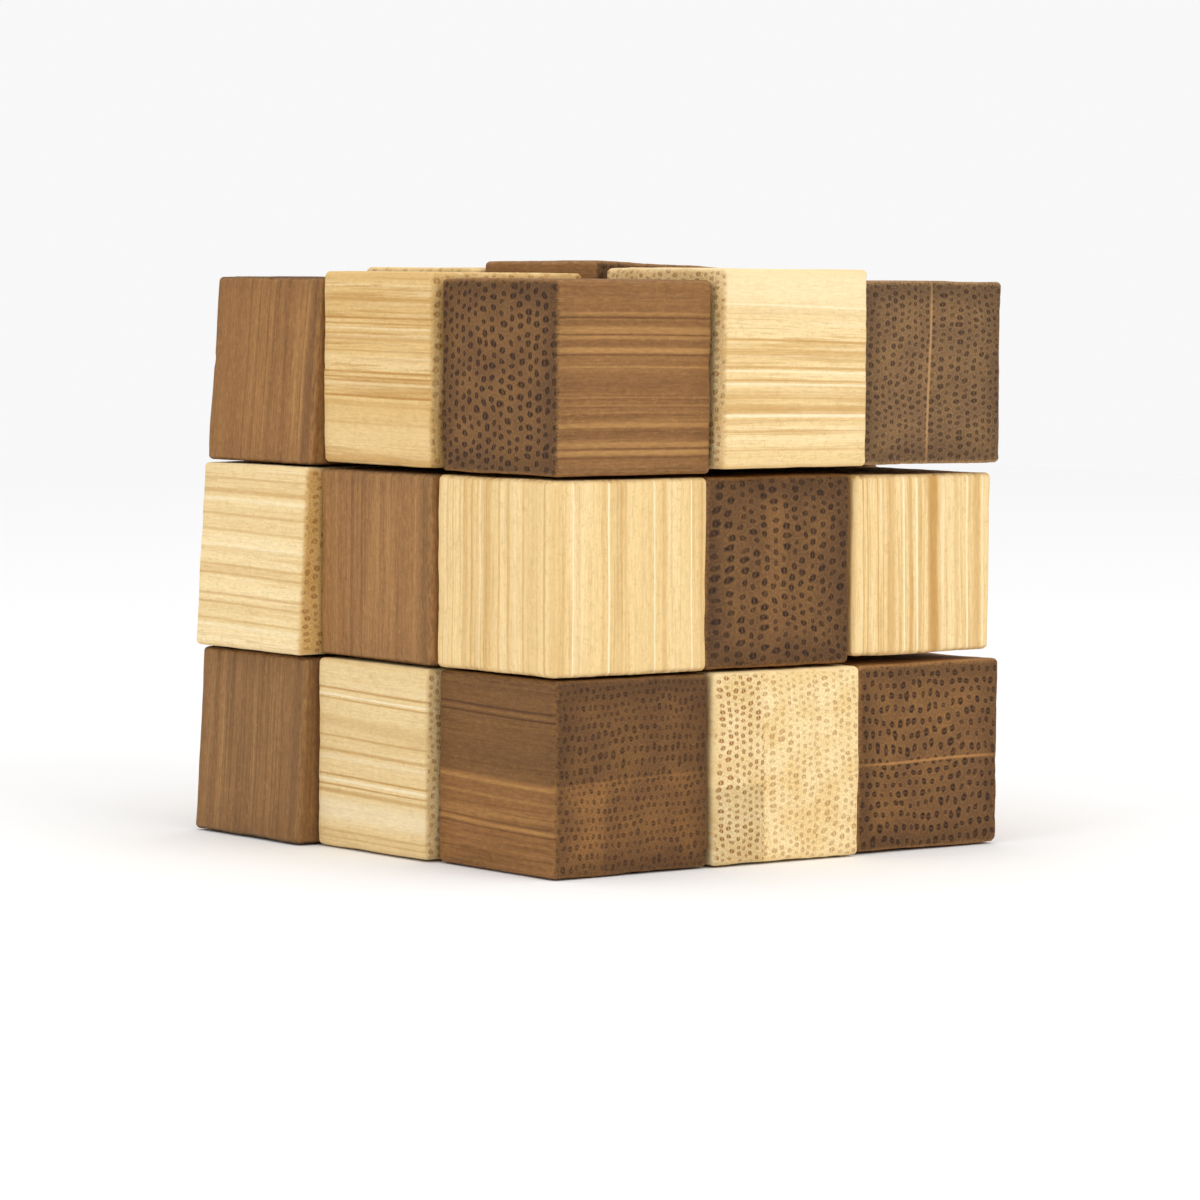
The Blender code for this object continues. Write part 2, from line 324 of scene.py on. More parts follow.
def stick_of(cell):
    """The stick that a cubelet was cut from.  The cubelets inside and behind take turns with the grain."""
    if cell in STICKS:
        stick = dict(STICKS[cell])
    else:
        column, row, layer = cell
        number = column + 3 * row + 9 * layer
        turn = (column + 2 * row + layer) % 3
        stick = dict(
            grain="xyz"[turn], across="yzx"[turn], strip=24.0 if number % 2 else 12.0, start=(number * 3) % 9,
            tone=0.95 + 0.04 * (number % 4), stripes=0.4 + 0.15 * (number % 3), seed=20 + number, pitch=0.85,
        )
    stick["third"] = ({"x", "y", "z"} - {stick["grain"], stick["across"]}).pop()
    stick["streaks"] = STREAKS.get(cell, {})
    return stick


# ---------------------------------------------------------------- noise for mesh relief


def wave_noise(values, pitch, rng):
    """Smooth random profile of one variable: a sum of a few sines near the given pitch."""
    total = np.zeros_like(values)
    for octave in (1.0, 1.7, 2.9, 0.45):
        for _ in range(3):
            length = pitch / octave * rng.uniform(0.75, 1.3)
            phase = rng.uniform(0, 2 * math.pi)
            total += np.sin(values * (2 * math.pi / length) + phase) / (3 * octave ** 0.6)
    return total / 2.0


def solid_noise(points, pitch, rng, waves=14):
    """Smooth random field in space."""
    total = np.zeros(len(points))
    for _ in range(waves):
        heading = rng.normal(size=3)
        heading /= np.linalg.norm(heading)
        length = pitch * rng.uniform(0.6, 1.6)
        total += np.sin(points @ heading * (2 * math.pi / length) + rng.uniform(0, 2 * math.pi))
    return total / math.sqrt(waves / 2)


# ---------------------------------------------------------------- cubelet mesh


def edge_steps():
    """Grid places across a face, as (place on the flat from -1 to 1, angle over a rounded edge)."""
    bend = [math.pi / 4 * (1 - step / ROUND_STEPS) for step in range(ROUND_STEPS)]
    flat = np.linspace(-1, 1, FLAT_STEPS + 1)
    return [(-1.0, -a) for a in bend] + [(f, 0.0) for f in flat] + [(1.0, a) for a in reversed(bend)]


def square_border(count):
    """Steps round the border of a square grid of points, in order."""
    last = count - 1
    border = [(i, 0) for i in range(last)] + [(last, j) for j in range(last)]
    return border + [(i, last) for i in range(last, 0, -1)] + [(0, j) for j in range(last, 0, -1)]


def face_points(half, axis, sign, bored):
    """Points and faces of one side of the sharp box.

    A plain side is a square grid.  A drilled side is rings, from its border in to the bore's rim.
    """
    first, second = [a for a in range(3) if a != axis]
    steps = edge_steps()
    count = len(steps)

    def along(step, which):
        flat, bend = step
        return flat * (half[which] - EDGE_RADIUS) + EDGE_RADIUS * math.tan(bend)

    if not bored:
        points = np.zeros((count, count, 3))
        for i, a in enumerate(steps):
            for j, b in enumerate(steps):
                points[i, j, first] = along(a, first)
                points[i, j, second] = along(b, second)
                points[i, j, axis] = sign * half[axis]
        return points.reshape(-1, 3), grid_faces(count, count, False)
    border = square_border(count)
    rings = SKIRT_RINGS + BORE_RINGS + 1
    points = np.zeros((rings, len(border), 3))
    for k, (i, j) in enumerate(border):
        for ring in range(rings):
            inset = min(ring, SKIRT_RINGS)
            a = steps[min(max(i, inset), count - 1 - inset)]
            b = steps[min(max(j, inset), count - 1 - inset)]
            spot = np.array((along(a, first), along(b, second)))
            if ring > SKIRT_RINGS:
                share = (ring - SKIRT_RINGS) / BORE_RINGS
                rim = spot / np.linalg.norm(spot) * BORE_RADIUS
                spot = spot + (rim - spot) * share ** 0.8
            points[ring, k, first], points[ring, k, second] = spot
            points[ring, k, axis] = sign * half[axis]
    return points.reshape(-1, 3), grid_faces(rings, len(border), True)


def grid_faces(rows, columns, closed):
    faces = []
    for i in range(rows - 1):
        row, below = i * columns, (i + 1) * columns
        for j in range(columns if closed else columns - 1):
            after = (j + 1) % columns
            faces.append((row + j, below + j, below + after, row + after))
    return faces


def rounded(points, half):
    """Moves points of a sharp box onto a box with round edges, and gives their outward normals."""
    inner = half - EDGE_RADIUS
    core = np.clip(points, -inner, inner)
    out = points - core
    normal = out / np.maximum(np.linalg.norm(out, axis=1, keepdims=True), 1e-12)
    return core + normal * EDGE_RADIUS, normal


def bore_wall(axis, sign, half):
    """The inside of a bore, from its rim in, closed at its far end."""
    first, second = [a for a in range(3) if a != axis]
    depths = np.concatenate((np.linspace(0, BORE_LIP, 4), np.linspace(2 * BORE_LIP, BORE_DEPTH, 5)))
    points = np.zeros((len(depths), BORE_SIDES, 3))
    angles = np.arange(BORE_SIDES) * 2 * math.pi / BORE_SIDES
    for ring, depth in enumerate(depths):
        points[ring, :, first] = BORE_RADIUS * np.cos(angles)
        points[ring, :, second] = BORE_RADIUS * np.sin(angles)
        points[ring, :, axis] = sign * (half[axis] - depth)
    faces = grid_faces(len(depths), BORE_SIDES, True)
    faces.append(tuple((len(depths) - 1) * BORE_SIDES + k for k in range(BORE_SIDES)))
    return points.reshape(-1, 3), faces


def drilled_box(half, bores):
    """Points, outward normals, faces and an inside-a-bore flag of a round-edged box with its bores."""
    points, normals, faces, inner = [], [], [], []

    def add(place, normal, quads, flip, inside):
        offset = sum(len(group) for group in points)
        faces.extend(tuple(offset + k for k in (quad[::-1] if flip else quad)) for quad in quads)
        points.append(place)
        normals.append(normal)
        inner.append(np.full(len(place), inside))

    for axis in range(3):
        for sign in (-1, 1):
            bored = (axis, sign) in bores
            sharp, quads = face_points(half, axis, sign, bored)
            place, normal = rounded(sharp, half)
            add(place, normal, quads, (axis == 1) ^ (sign < 0) ^ bored, 0.0)
            if bored:
                wall, quads = bore_wall(axis, sign, half)
                add(wall, np.zeros_like(wall), quads, False, 1.0)
    return np.concatenate(points), np.concatenate(normals), faces, np.concatenate(inner)


def worn_depth(points, normals, wood, near_edge, stick):
    """How far each point stands out of the smooth box, in mm: ridges, soft hollows, bites and chips."""
    rng = np.random.default_rng(stick["seed"] * 7 + 5)
    grain, across = AXES[stick["grain"]], AXES[stick["across"]]
    third = 3 - grain - across
    spots = points / MM
    side = 1 - np.abs(normals[:, grain]) ** 2
    bend = GRAIN_BEND[0] * solid_noise(spots, GRAIN_BEND[1], rng)
    ridge = np.abs(normals[:, across]) * wave_noise(wood[:, 1] + bend, RIDGES[1], rng)
    ridge += np.abs(normals[:, third]) * wave_noise(wood[:, 0] + bend, RIDGES[1], rng)
    depth = RIDGES[0] * (RIDGE_LEAST + stick["stripes"]) * side * ridge * (1 + RIDGE_AT_EDGE * near_edge)
    depth += HOLLOWS[0] * solid_noise(spots, HOLLOWS[1], rng)
    scallops = np.maximum(solid_noise(spots, SCALLOPS[1], rng, FINE_WAVES), 0.0)
    depth -= SCALLOPS[0] * near_edge * np.abs(normals[:, grain]) * scallops
    chips = np.maximum(solid_noise(spots, CHIPS[1], rng, FINE_WAVES) - CHIP_RARITY, 0.0)
    wear = EDGE_WEAR[0] * near_edge * (1 + solid_noise(spots, EDGE_WEAR[1], rng))
    depth -= CHIPS[0] * near_edge * chips + wear
    return np.minimum(depth, PROUD)


def add_attributes(mesh, vectors, **values):
    mesh.attributes.new("wood", "FLOAT_VECTOR", "POINT")
    mesh.attributes["wood"].data.foreach_set("vector", vectors.astype(np.float32).ravel())
    for name, numbers in values.items():
        mesh.attributes.new(name, "FLOAT", "POINT")
        mesh.attributes[name].data.foreach_set("value", numbers.astype(np.float32).ravel())


def cubelet_mesh(name, low, high, bores, stick, yaw, tip, lean):
    """A worn cubelet, turned and leaning in its seat as the CAD cubelet does."""
    middle = (low + high) / 2
    half = (high - low) / 2 + SWELL
    half = half - np.array((
        half[1] * abs(math.sin(yaw)) + half[2] * abs(math.sin(tip)),
        half[0] * abs(math.sin(yaw)),
        half[0] * abs(math.sin(tip)),
    ))
    half[0] -= lean / 4
    points, normals, faces, inner = drilled_box(half, bores)

    grain, across = AXES[stick["grain"]], AXES[stick["across"]]
    third = 3 - grain - across
    wood = np.stack((points[:, across], points[:, third], points[:, grain]), axis=1) / MM
    edge = np.sort(half - np.abs(points), axis=1)[:, 1]
    near_edge = np.exp(-(edge / WEAR_REACH) ** 2)
    depth = worn_depth(points, normals, wood, near_edge, stick)
    points = points + normals * (depth * (1 - inner) * MM)[:, None]

    tilt = points[:, 2] / (2 * half[2])
    leaning = np.clip(-points[:, 0] / half[0], 0, 1) * lean
    points[:, 0] += leaning * tilt
    turn = np.array(Matrix.Rotation(yaw, 3, "Z") @ Matrix.Rotation(tip, 3, "Y"))
    points = points @ turn.T + middle

    mesh = bpy.data.meshes.new(name)
    mesh.from_pydata([tuple(p) for p in points], [], faces)
    mesh.update()
    ends = np.abs(normals[:, grain]) ** 3
    rim = np.exp(-(edge / RIM_REACH) ** 2)
    add_attributes(mesh, wood, end_grain=ends, wear=near_edge, rim=rim, inside=inner)
    mesh.shade_smooth()
    weld(mesh)
    return mesh


def weld(mesh):
    """Joins the six sides along their shared borders."""
    shape = bmesh.new()
    shape.from_mesh(mesh)
    bmesh.ops.remove_doubles(shape, verts=shape.verts, dist=WELD_DISTANCE)
    shape.to_mesh(mesh)
    shape.free()


# ---------------------------------------------------------------- material nodes


class Tree:
    """Short names for building a material's nodes."""

    def __init__(self, name):
        self.material = bpy.data.materials.new(name)
        self.material.use_nodes = True
        self.nodes = self.material.node_tree.nodes
        self.links = self.material.node_tree.links
        self.shader = self.nodes["Principled BSDF"]

    def feed(self, socket, value):
        if isinstance(value, bpy.types.NodeSocket):
            self.links.new(value, socket)
        else:
            socket.default_value = value

    def surface(self, name, value):
        self.feed(self.shader.inputs[name], value)

    def math(self, operation, a, b=0.0, clamp=False):
        node = self.nodes.new("ShaderNodeMath")
        node.operation = operation
        node.use_clamp = clamp
        self.feed(node.inputs[0], a)
        self.feed(node.inputs[1], b)
        return node.outputs[0]

    def add(self, a, b, clamp=False):
        return self.math("ADD", a, b, clamp)

    def sub(self, a, b):
        return self.math("SUBTRACT", a, b)

    def mul(self, a, b, clamp=False):
        return self.math("MULTIPLY", a, b, clamp)

    def div(self, a, b):
        return self.math("DIVIDE", a, b)

    def size(self, a):
        return self.math("ABSOLUTE", a)

    def attribute(self, name, output="Fac"):
        node = self.nodes.new("ShaderNodeAttribute")
        node.attribute_name = name
        return node.outputs[output]

    def split(self, vector):
        node = self.nodes.new("ShaderNodeSeparateXYZ")
        self.feed(node.inputs[0], vector)
        return node.outputs

    def join(self, x, y, z=0.0):
        node = self.nodes.new("ShaderNodeCombineXYZ")
        for socket, value in zip(node.inputs, (x, y, z)):
            self.feed(socket, value)
        return node.outputs[0]

    def noise(self, vector, scale, detail=2.0, rough=0.5, distortion=0.0):
        node = self.nodes.new("ShaderNodeTexNoise")
        self.feed(node.inputs["Vector"], vector)
        node.inputs["Scale"].default_value = scale
        node.inputs["Detail"].default_value = detail
        node.inputs["Roughness"].default_value = rough
        node.inputs["Distortion"].default_value = distortion
        return node.outputs["Fac"]

    def random(self, vector):
        node = self.nodes.new("ShaderNodeTexWhiteNoise")
        node.noise_dimensions = "3D"
        self.feed(node.inputs["Vector"], vector)
        return self.split(node.outputs["Color"])

    def fade(self, value, low, high):
        """0 below low, 1 above high and smooth between.  It runs the other way where low is above high."""
        node = self.nodes.new("ShaderNodeMapRange")
        node.interpolation_type = "SMOOTHSTEP"
        flip = low > high
        self.feed(node.inputs["Value"], value)
        node.inputs["From Min"].default_value = min(low, high)
        node.inputs["From Max"].default_value = max(low, high)
        node.inputs["To Min"].default_value = 1.0 if flip else 0.0
        node.inputs["To Max"].default_value = 0.0 if flip else 1.0
        return node.outputs["Result"]

    def near(self, value, place, outer, inner):
        """1 within inner of a place, and 0 beyond outer."""
        return self.fade(self.size(self.sub(value, place)), outer, inner)

    def mix(self, factor, a, b, blend="MIX"):
        node = self.nodes.new("ShaderNodeMix")
        node.data_type = "RGBA"
        node.blend_type = blend
        self.feed(node.inputs["Factor"], factor)
        self.feed(node.inputs[6], a)
        self.feed(node.inputs[7], b)
        return node.outputs[2]

    def bump(self, height, strength, distance):
        node = self.nodes.new("ShaderNodeBump")
        node.inputs["Strength"].default_value = strength
        node.inputs["Distance"].default_value = distance
        self.feed(node.inputs["Height"], height)
        return node.outputs["Normal"]


def colour(rgb, gain=1.0, warm=0.0):
    """Linear RGBA of an sRGB colour, times a gain.  A warm colour has less blue and a little less green."""
    red, green, blue = [((channel / 255 + 0.055) / 1.055) ** 2.4 * gain for channel in rgb]
    return (min(red, 1.0), min(green * (1 - 0.35 * warm), 1.0), min(blue * (1 - warm), 1.0), 1.0)


class Bamboo:
    """A cubelet's bamboo: vascular bundles across its ends, their fibres as streaks along its sides, and
    the glue lines between its strips."""

    def __init__(self, name, palette, stick, dark):
        self.t = Tree(name)
        self.palette = palette
        self.stick = stick
        self.dark = dark
        self.seed = float(stick["seed"])
        self.ends = self.t.attribute("end_grain")
        self.find_place()
        self.find_strips()
        self.find_bundles()
        self.find_fibres()

    def shade_of(self, key, gain=1.0, warm=None):
        warm = self.stick.get("warm", 0.0) if warm is None else warm
        return colour(self.palette[key], self.stick["tone"] * gain, warm)

    def find_place(self):
        """Where a point is in the stick, in mm, with the slow wander of the grain."""
        t = self.t
        across, third, along = t.split(t.attribute("wood", "Vector"))
        sway_along = t.add(t.mul(along, 0.025), self.seed * 3.1)
        sway = t.join(t.mul(across, 0.04), t.mul(third, 0.04), sway_along)
        wander = t.mul(t.sub(t.noise(sway, 1.0, 0.0), 0.5), WANDER)
        self.across = t.add(across, wander)
        self.third = t.add(third, wander)
        self.along = along

    def find_strips(self):
        """Which strip a point is in, how far across it, and how near a glue line."""
        t, thick = self.t, self.stick["strip"]
        strip_at = t.div(t.add(self.across, STRIP_OFFSET + self.stick["start"]), thick)
        self.strip = t.math("FLOOR", strip_at)
        self.in_strip = t.math("FRACT", strip_at)
        outer, inner = [0.5 - reach / thick for reach in GLUE_REACH]
        self.glue = t.fade(t.size(t.sub(self.in_strip, 0.5)), outer, inner)
        self.strip_random = t.random(t.join(self.strip, self.seed, 0.5))

    def row_bend(self, scale, shift, detail):
        """A noise over the end of the stick."""
        t = self.t
        return t.noise(t.join(t.mul(self.across, scale), t.mul(self.third, scale), shift), 1.0, detail)

    def find_bundles(self):
        """Vascular bundles in staggered rows, closer together towards each strip's outer side."""
        t, seed = self.t, self.seed
        pitch = self.stick.get("pitch", 1.0)
        crowd = t.mul(self.in_strip, t.add(CROWDING[0], t.mul(self.in_strip, CROWDING[1])))
        drift = self.row_bend(DRIFT[0], seed * 7.7, 0.0)
        row_at = t.add(t.mul(crowd, self.stick["strip"] / (ROW_PITCH * pitch)), t.mul(drift, DRIFT[1]))
        row_at = t.add(row_at, t.mul(self.row_bend(WARP[0], seed * 2.3, 1.0), WARP[1]))
        row = t.math("FLOOR", row_at)
        row_random = t.random(t.join(row, seed, 3.5))
        shift = t.add(t.mul(row, 0.5), t.mul(row_random[0], 0.25))
        squeeze = t.mul(t.add(self.third, t.mul(drift, DRIFT[2])), 1.0 / (BUNDLE_PITCH * pitch))
        column_at = t.add(squeeze, shift)
        column = t.math("FLOOR", column_at)
        self.chance = t.random(t.join(t.add(row, t.mul(self.strip, 31.0)), column, seed))

        offsets = []
        places = zip((row_at, column_at), self.chance, BUNDLE_JITTER, (ROW_PITCH, BUNDLE_PITCH), BUNDLE_REACH)
        for place, jitter, amount, spacing, reach in places:
            middle = t.sub(t.math("FRACT", place), 0.5)
            offset = t.add(middle, t.mul(t.sub(jitter, 0.5), amount))
            offsets.append(t.mul(offset, spacing / reach))
        dx, dy = offsets
        radius = t.math("SQRT", t.add(t.mul(dx, dx), t.mul(dy, dy)))
        ragged = t.noise(t.attribute("wood", "Vector"), RAGGED / pitch, 1.0)
        radius = t.add(radius, t.mul(t.sub(ragged, 0.5), RAGGED_SHARE))
        radius = t.div(radius, t.add(0.78, t.mul(self.chance[2], 0.34)))
        heart = t.mul(t.fade(radius, 0.46, 0.10), 0.55)
        lobes = t.add(0.62, t.mul(t.div(t.size(dx), t.add(radius, 0.10)), 0.50))
        bundle = t.mul(t.fade(radius, 1.18, 0.50), t.sub(1.0, heart))
        self.bundle = t.mul(bundle, lobes, clamp=True)
        self.halo = t.mul(t.fade(radius, 1.75, 1.25), t.fade(radius, 1.0, 1.25))

    def find_fibres(self):
        """Noises along the grain, from broad bands to fine fibres, and finer flecks and fuzz."""
        t = self.t
        self.fibres = {}
        for name, (scale, stretch, shift, detail) in FIBRES.items():
            along = t.add(t.mul(self.along, stretch), self.seed * 5.3 + shift)
            place = t.join(t.mul(self.across, scale), t.mul(self.third, scale), along)
            self.fibres[name] = t.noise(place, 1.0, detail, 0.55)
        flecks_at = t.join(t.mul(self.across, 4.5), t.mul(self.third, 4.5), t.mul(self.along, 0.9))
        self.flecks = t.noise(flecks_at, 1.0, 3.0, 0.6)
        self.fuzz = t.noise(t.attribute("wood", "Vector"), 1.6, 3.0, 0.65, 1.2)

    def side_colour(self):
        t = self.t
        gain = self.stick.get("side", 1.0)
        shades = {key: self.shade_of(key, gain) for key in ("base", "deep", "pale")}
        shades["scorched"] = self.shade_of("deep", SCORCHED)
        striped = t.fade(self.fibres["striped"], 0.42, 0.58)
        side = shades["base"]
        for fibre, start, full, share, striped_share, key in SIDE_LAYERS:
            amount = t.add(share, t.mul(striped, striped_share * self.stick["stripes"]))
            side = t.mix(t.mul(t.fade(self.fibres[fibre], start, full), amount), side, shades[key])
        side = t.mix(t.mul(t.fade(self.fuzz, 0.50, 0.72), FUZZ_SHARE), side, shades["deep"])
        if self.dark:
            side = t.mix(t.mul(t.fade(self.fuzz, 0.46, 0.28), FUZZ_SHARE), side, shades["pale"])
        return self.marked(side, shades)

    def marked(self, side, shades):
        """Lays the cubelet's own streaks over its side colour."""
        t = self.t
        places = {self.stick["across"]: self.across, self.stick["third"]: self.third}
        uneven = t.add(0.55, t.mul(self.fibres["uneven"], 0.9), clamp=True)
        for axis, marks in self.stick["streaks"].items():
            for place, width, share in marks:
                near = t.near(places[axis], place, width * 1.3, width * 0.3)
                near = t.mul(near, t.mul(uneven, abs(share)))
                side = t.mix(near, side, shades["pale" if share > 0 else "deep"])
        return side

    def end_colour(self):
        t, stick = self.t, self.stick
        look = (stick.get("end_tone", 1.0), stick.get("end_warm"))
        far_ground, near_ground = self.shade_of("far_ground", *look), self.shade_of("ground", *look)
        ground = t.mix(t.fade(self.fibres["bands"], 0.25, 0.75), far_ground, near_ground)
        ground = t.mix(t.mul(self.halo, 0.10), ground, self.shade_of("pale", stick.get("side", 1.0)))
        if "band" in stick:
            place, width, share = stick["band"]
            near = t.near(self.across, place, width, width * 0.3)
            ground = t.mix(t.mul(near, share), ground, self.shade_of("base"))
        weight = t.add(stick.get("dots", 0.75) - 0.25, t.mul(self.chance[2], 0.30), clamp=True)
        if "bold" in stick:
            bold = t.fade(self.across, stick["bold"] + SOFT_STEP, stick["bold"] - SOFT_STEP)
            weight = t.add(weight, t.mul(bold, 0.4), clamp=True)
        return t.mix(t.mul(self.bundle, weight), ground, self.shade_of("bundle"))

    def strip_shade(self):
        """Brightness of each strip or block of strips."""
        t, stick = self.t, self.stick
        shade = t.add(0.96, t.mul(self.strip_random[0], 0.08))
        if "split" in stick:
            place, below, above = stick["split"]
            step = t.fade(self.across, place - 0.15, place + 0.15)
            shade = t.add(below, t.mul(step, above - below))
        if "patch" in stick:
            across_edge, third_edge, gain = stick["patch"]
            patch = t.mul(
                t.fade(self.across, across_edge + SOFT_STEP, across_edge - SOFT_STEP),
                t.fade(self.third, third_edge + SOFT_STEP, third_edge - SOFT_STEP),
            )
            shade = t.mul(shade, t.add(1.0, t.mul(patch, gain - 1.0)))
        return t.join(shade, shade, shade)

    def body_colour(self):
        t = self.t
        side_gain = self.stick.get("side", 1.0)
        mottle = t.mix(t.fade(self.flecks, 0.38, 0.64), *MOTTLE)
        body = t.mix(self.ends, self.side_colour(), self.end_colour())
        mottled = t.add(MOTTLE_SHARE[self.dark], t.mul(self.ends, MOTTLE_ON_ENDS))
        body = t.mix(mottled, body, mottle, "MULTIPLY")
        body = t.mix(1.0, body, self.strip_shade(), "MULTIPLY")
        body = t.mix(t.mul(self.glue, self.stick.get("glue", 0.7)), body, self.shade_of("glue"))
        if self.dark:
            scorch = t.add(SCORCH_SHARE[0], t.mul(self.ends, SCORCH_SHARE[1]))
            body = t.mix(t.mul(t.attribute("rim"), scorch), body, self.shade_of("bundle"))
        wear = t.mul(t.attribute("wear"), t.fade(self.flecks, 0.40, 0.60))
        worn = self.shade_of("pale" if self.dark else "deep", side_gain)
        body = t.mix(t.mul(wear, WEAR_SHARE), body, worn)
        # painted shade: the walls of the bores are darkened towards the deep colour
        share, gain = BORE_PAINTED_SHADE
        return t.mix(t.mul(t.attribute("inside"), share), body, colour(self.palette["deep"], gain))

    def relief(self):
        """Height of the fine grain: fibres on the sides, sunk bundles on the ends."""
        t, fibres = self.t, self.fibres
        on_ends = t.sub(t.mul(self.halo, 0.1), t.mul(self.bundle, 0.4))
        fine = t.add(t.mul(fibres["fine"], 0.9), t.mul(fibres["fibre"], 0.5))
        on_sides = t.add(t.mul(fibres["lines"], 1.1), fine)
        height = t.add(t.mul(on_ends, self.ends), t.mul(on_sides, t.sub(1.0, self.ends)))
        return t.add(height, t.mul(self.flecks, 0.3))

    def finish(self):
        t = self.t
        t.surface("Base Color", self.body_colour())
        rough = t.add(0.55, t.mul(self.fibres["fine"], 0.22))
        t.surface("Roughness", t.add(rough, t.mul(self.bundle, 0.08)))
        t.surface("Specular IOR Level", 0.25)
        t.surface("Normal", t.bump(self.relief(), 0.55, 0.10 * MM))
        return t.material


def cord_material():
    t = Tree("elastic_cord")
    fuzz = t.noise(t.attribute("wood", "Vector"), 6.0, 3.0)
    # painted shade: the cord's colour goes dark in the braid's grooves and pale on the crowns of its strands
    base = t.mix(t.attribute("braid"), (0.50, 0.47, 0.42, 1), (0.86, 0.84, 0.78, 1))
    base = t.mix(t.mul(t.fade(fuzz, 0.45, 0.70), 0.35), base, (0.62, 0.56, 0.46, 1))
    t.surface("Base Color", base)
    t.surface("Roughness", t.add(0.65, t.mul(fuzz, 0.3)))
    t.surface("Normal", t.bump(fuzz, 0.4, 0.08 * MM))
    return t.material


def peg_material():
    t = Tree("peg_wood")
    across, third, along = t.split(t.attribute("wood", "Vector"))
    grain = t.noise(t.join(t.mul(across, 2.0), t.mul(third, 2.0), t.mul(along, 0.15)), 1.0, 3.0)
    base = t.mix(t.fade(grain, 0.35, 0.65), (0.42, 0.27, 0.14, 1), (0.66, 0.46, 0.26, 1))
    t.surface("Base Color", base)
    t.surface("Roughness", t.add(0.5, t.mul(grain, 0.3)))
    t.surface("Normal", t.bump(grain, 0.3, 0.1 * MM))
    return t.material


# ---------------------------------------------------------------- cord and pegs


def rod_mesh(name, low, high, relief, braid):
    """A round bar along the longest side of a CAD node's box, with a braided or a turned surface."""
    size = high - low
    axis = int(np.argmax(size))
    first, second = [a for a in range(3) if a != axis]
    radius = size[first] / 2 / math.cos(math.pi / CAD_ROD_SIDES)
    rings = int(size[axis] / ROD_STEP) + 2
    middle = (low + high) / 2
    angles = np.arange(ROD_SIDES) * 2 * math.pi / ROD_SIDES
    points = np.zeros((rings, ROD_SIDES, 3))
    tone = np.zeros((rings, ROD_SIDES))
    for k, place in enumerate(np.linspace(low[axis], high[axis], rings)):
        end = min(place - low[axis], high[axis] - place)
        crown = math.sqrt(max(0.0, 1 - max(0.0, 1 - end / ROD_CROWN) ** 2))
        twist = place / BRAID_PITCH * 2 * math.pi
        left = np.cos(angles * BRAID_STRANDS + twist)
        right = np.cos(angles * BRAID_STRANDS - twist)
        weave = np.maximum(left, right) if braid else np.cos(angles * TURNED_RIDGES)
        r = radius * (crown * (1 - ROD_TIP) + ROD_TIP) * (1 - relief + relief * weave)
        points[k, :, first] = middle[first] + r * np.cos(angles)
        points[k, :, second] = middle[second] + r * np.sin(angles)
        points[k, :, axis] = place
        # painted shade of the weave: 1 on the crowns of the strands or ridges and 0 in the grooves, which the
        # cord's colour follows
        tone[k] = 0.5 + 0.5 * weave
    last = (rings - 1) * ROD_SIDES
    faces = [face[::-1] for face in grid_faces(rings, ROD_SIDES, True)]
    faces.append(tuple(range(ROD_SIDES)))
    faces.append(tuple(last + k for k in range(ROD_SIDES))[::-1])
    if axis == 1:
        faces = [face[::-1] for face in faces]
    flat = points.reshape(-1, 3)
    mesh = bpy.data.meshes.new(name)
    mesh.from_pydata([tuple(p) for p in flat], [], faces)
    mesh.update()
    wood = np.stack((flat[:, first], flat[:, second], flat[:, axis]), axis=1) / MM
    # the braid attribute carries the painted shade of the weave
    add_attributes(mesh, wood, braid=tone)
    mesh.shade_smooth()
    return mesh


# ---------------------------------------------------------------- the object


def add_piece(node, mesh, material):
    piece = bpy.data.objects.new(node + "_look", mesh)
    bpy.context.scene.collection.objects.link(piece)
    mesh.materials.append(material)
    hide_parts(node)
    return piece


def node_box(node):
    low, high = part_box(node)
    return np.array(low), np.array(high)


def body_of_node():
    found = {}
    for body, nodes in frame["record"]["behaviour"]["bodies"].items():
        for node in nodes:
            found[node] = body
    return found


def bores_of(index, cells):
    """The sides of a cubelet that the cord runs through, as (axis, sign)."""
    bores = set()
    for other in (index - 1, index + 1):
        if 0 <= other < len(cells):
            step = np.array(cells[other]) - np.array(cells[index])
            axis = int(np.argmax(np.abs(step)))
            bores.add((axis, int(step[axis])))
    return bores


def build_cubelet(index, cells, bodies):
    node = f"cubelet_{index + 1:02d}"
    cell = cells[index]
    low, high = node_box(node)
    stick = stick_of(cell)
    dark = sum(cell) % 2 == 0
    yaw, tip = math.radians(YAWS.get(cell, 0.0)), math.radians(TIPS.get(cell, 0.0))
    mesh = cubelet_mesh(node, low, high, bores_of(index, cells), stick, yaw, tip, LEANS.get(cell, 0.0) * MM)
    look = Bamboo(node + "_bamboo", DARK_PALETTE if dark else LIGHT_PALETTE, stick, dark)
    piece = add_piece(node, mesh, look.finish())
    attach(piece, bodies[node])


def stretched_between(body):
    """The two bodies that half of a layer link reaches between, or None for any other cord piece."""
    if body.endswith("_swivel"):
        return body, body.replace("_swivel", "_stretching")
    if body.endswith("_stretching"):
        return body, next(joint["child"] for joint in frame["joints"] if joint["parent"] == body)
    return None


def build_cord(node, bodies, material):
    low, high = node_box(node)
    piece = add_piece(node, rod_mesh(node, low, high, CORD_RELIEF, True), material)
    body = bodies[node]
    pair = stretched_between(body)
    if pair is None:
        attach(piece, body)
        return
    low, high = Vector(low), Vector(high)
    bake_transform(piece)


def build_object():
    cells = path_cells()
    bodies = body_of_node()
    for index in range(len(cells)):
        build_cubelet(index, cells, bodies)
    cord = cord_material()
    for node in bodies:
        if node.startswith("cord_link"):
            build_cord(node, bodies, cord)
    pegs = peg_material()
    for node in ("start_peg", "end_peg"):
        piece = add_piece(node, rod_mesh(node, *node_box(node), PEG_RELIEF, False), pegs)
        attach(piece, bodies[node])


# ---------------------------------------------------------------- studio


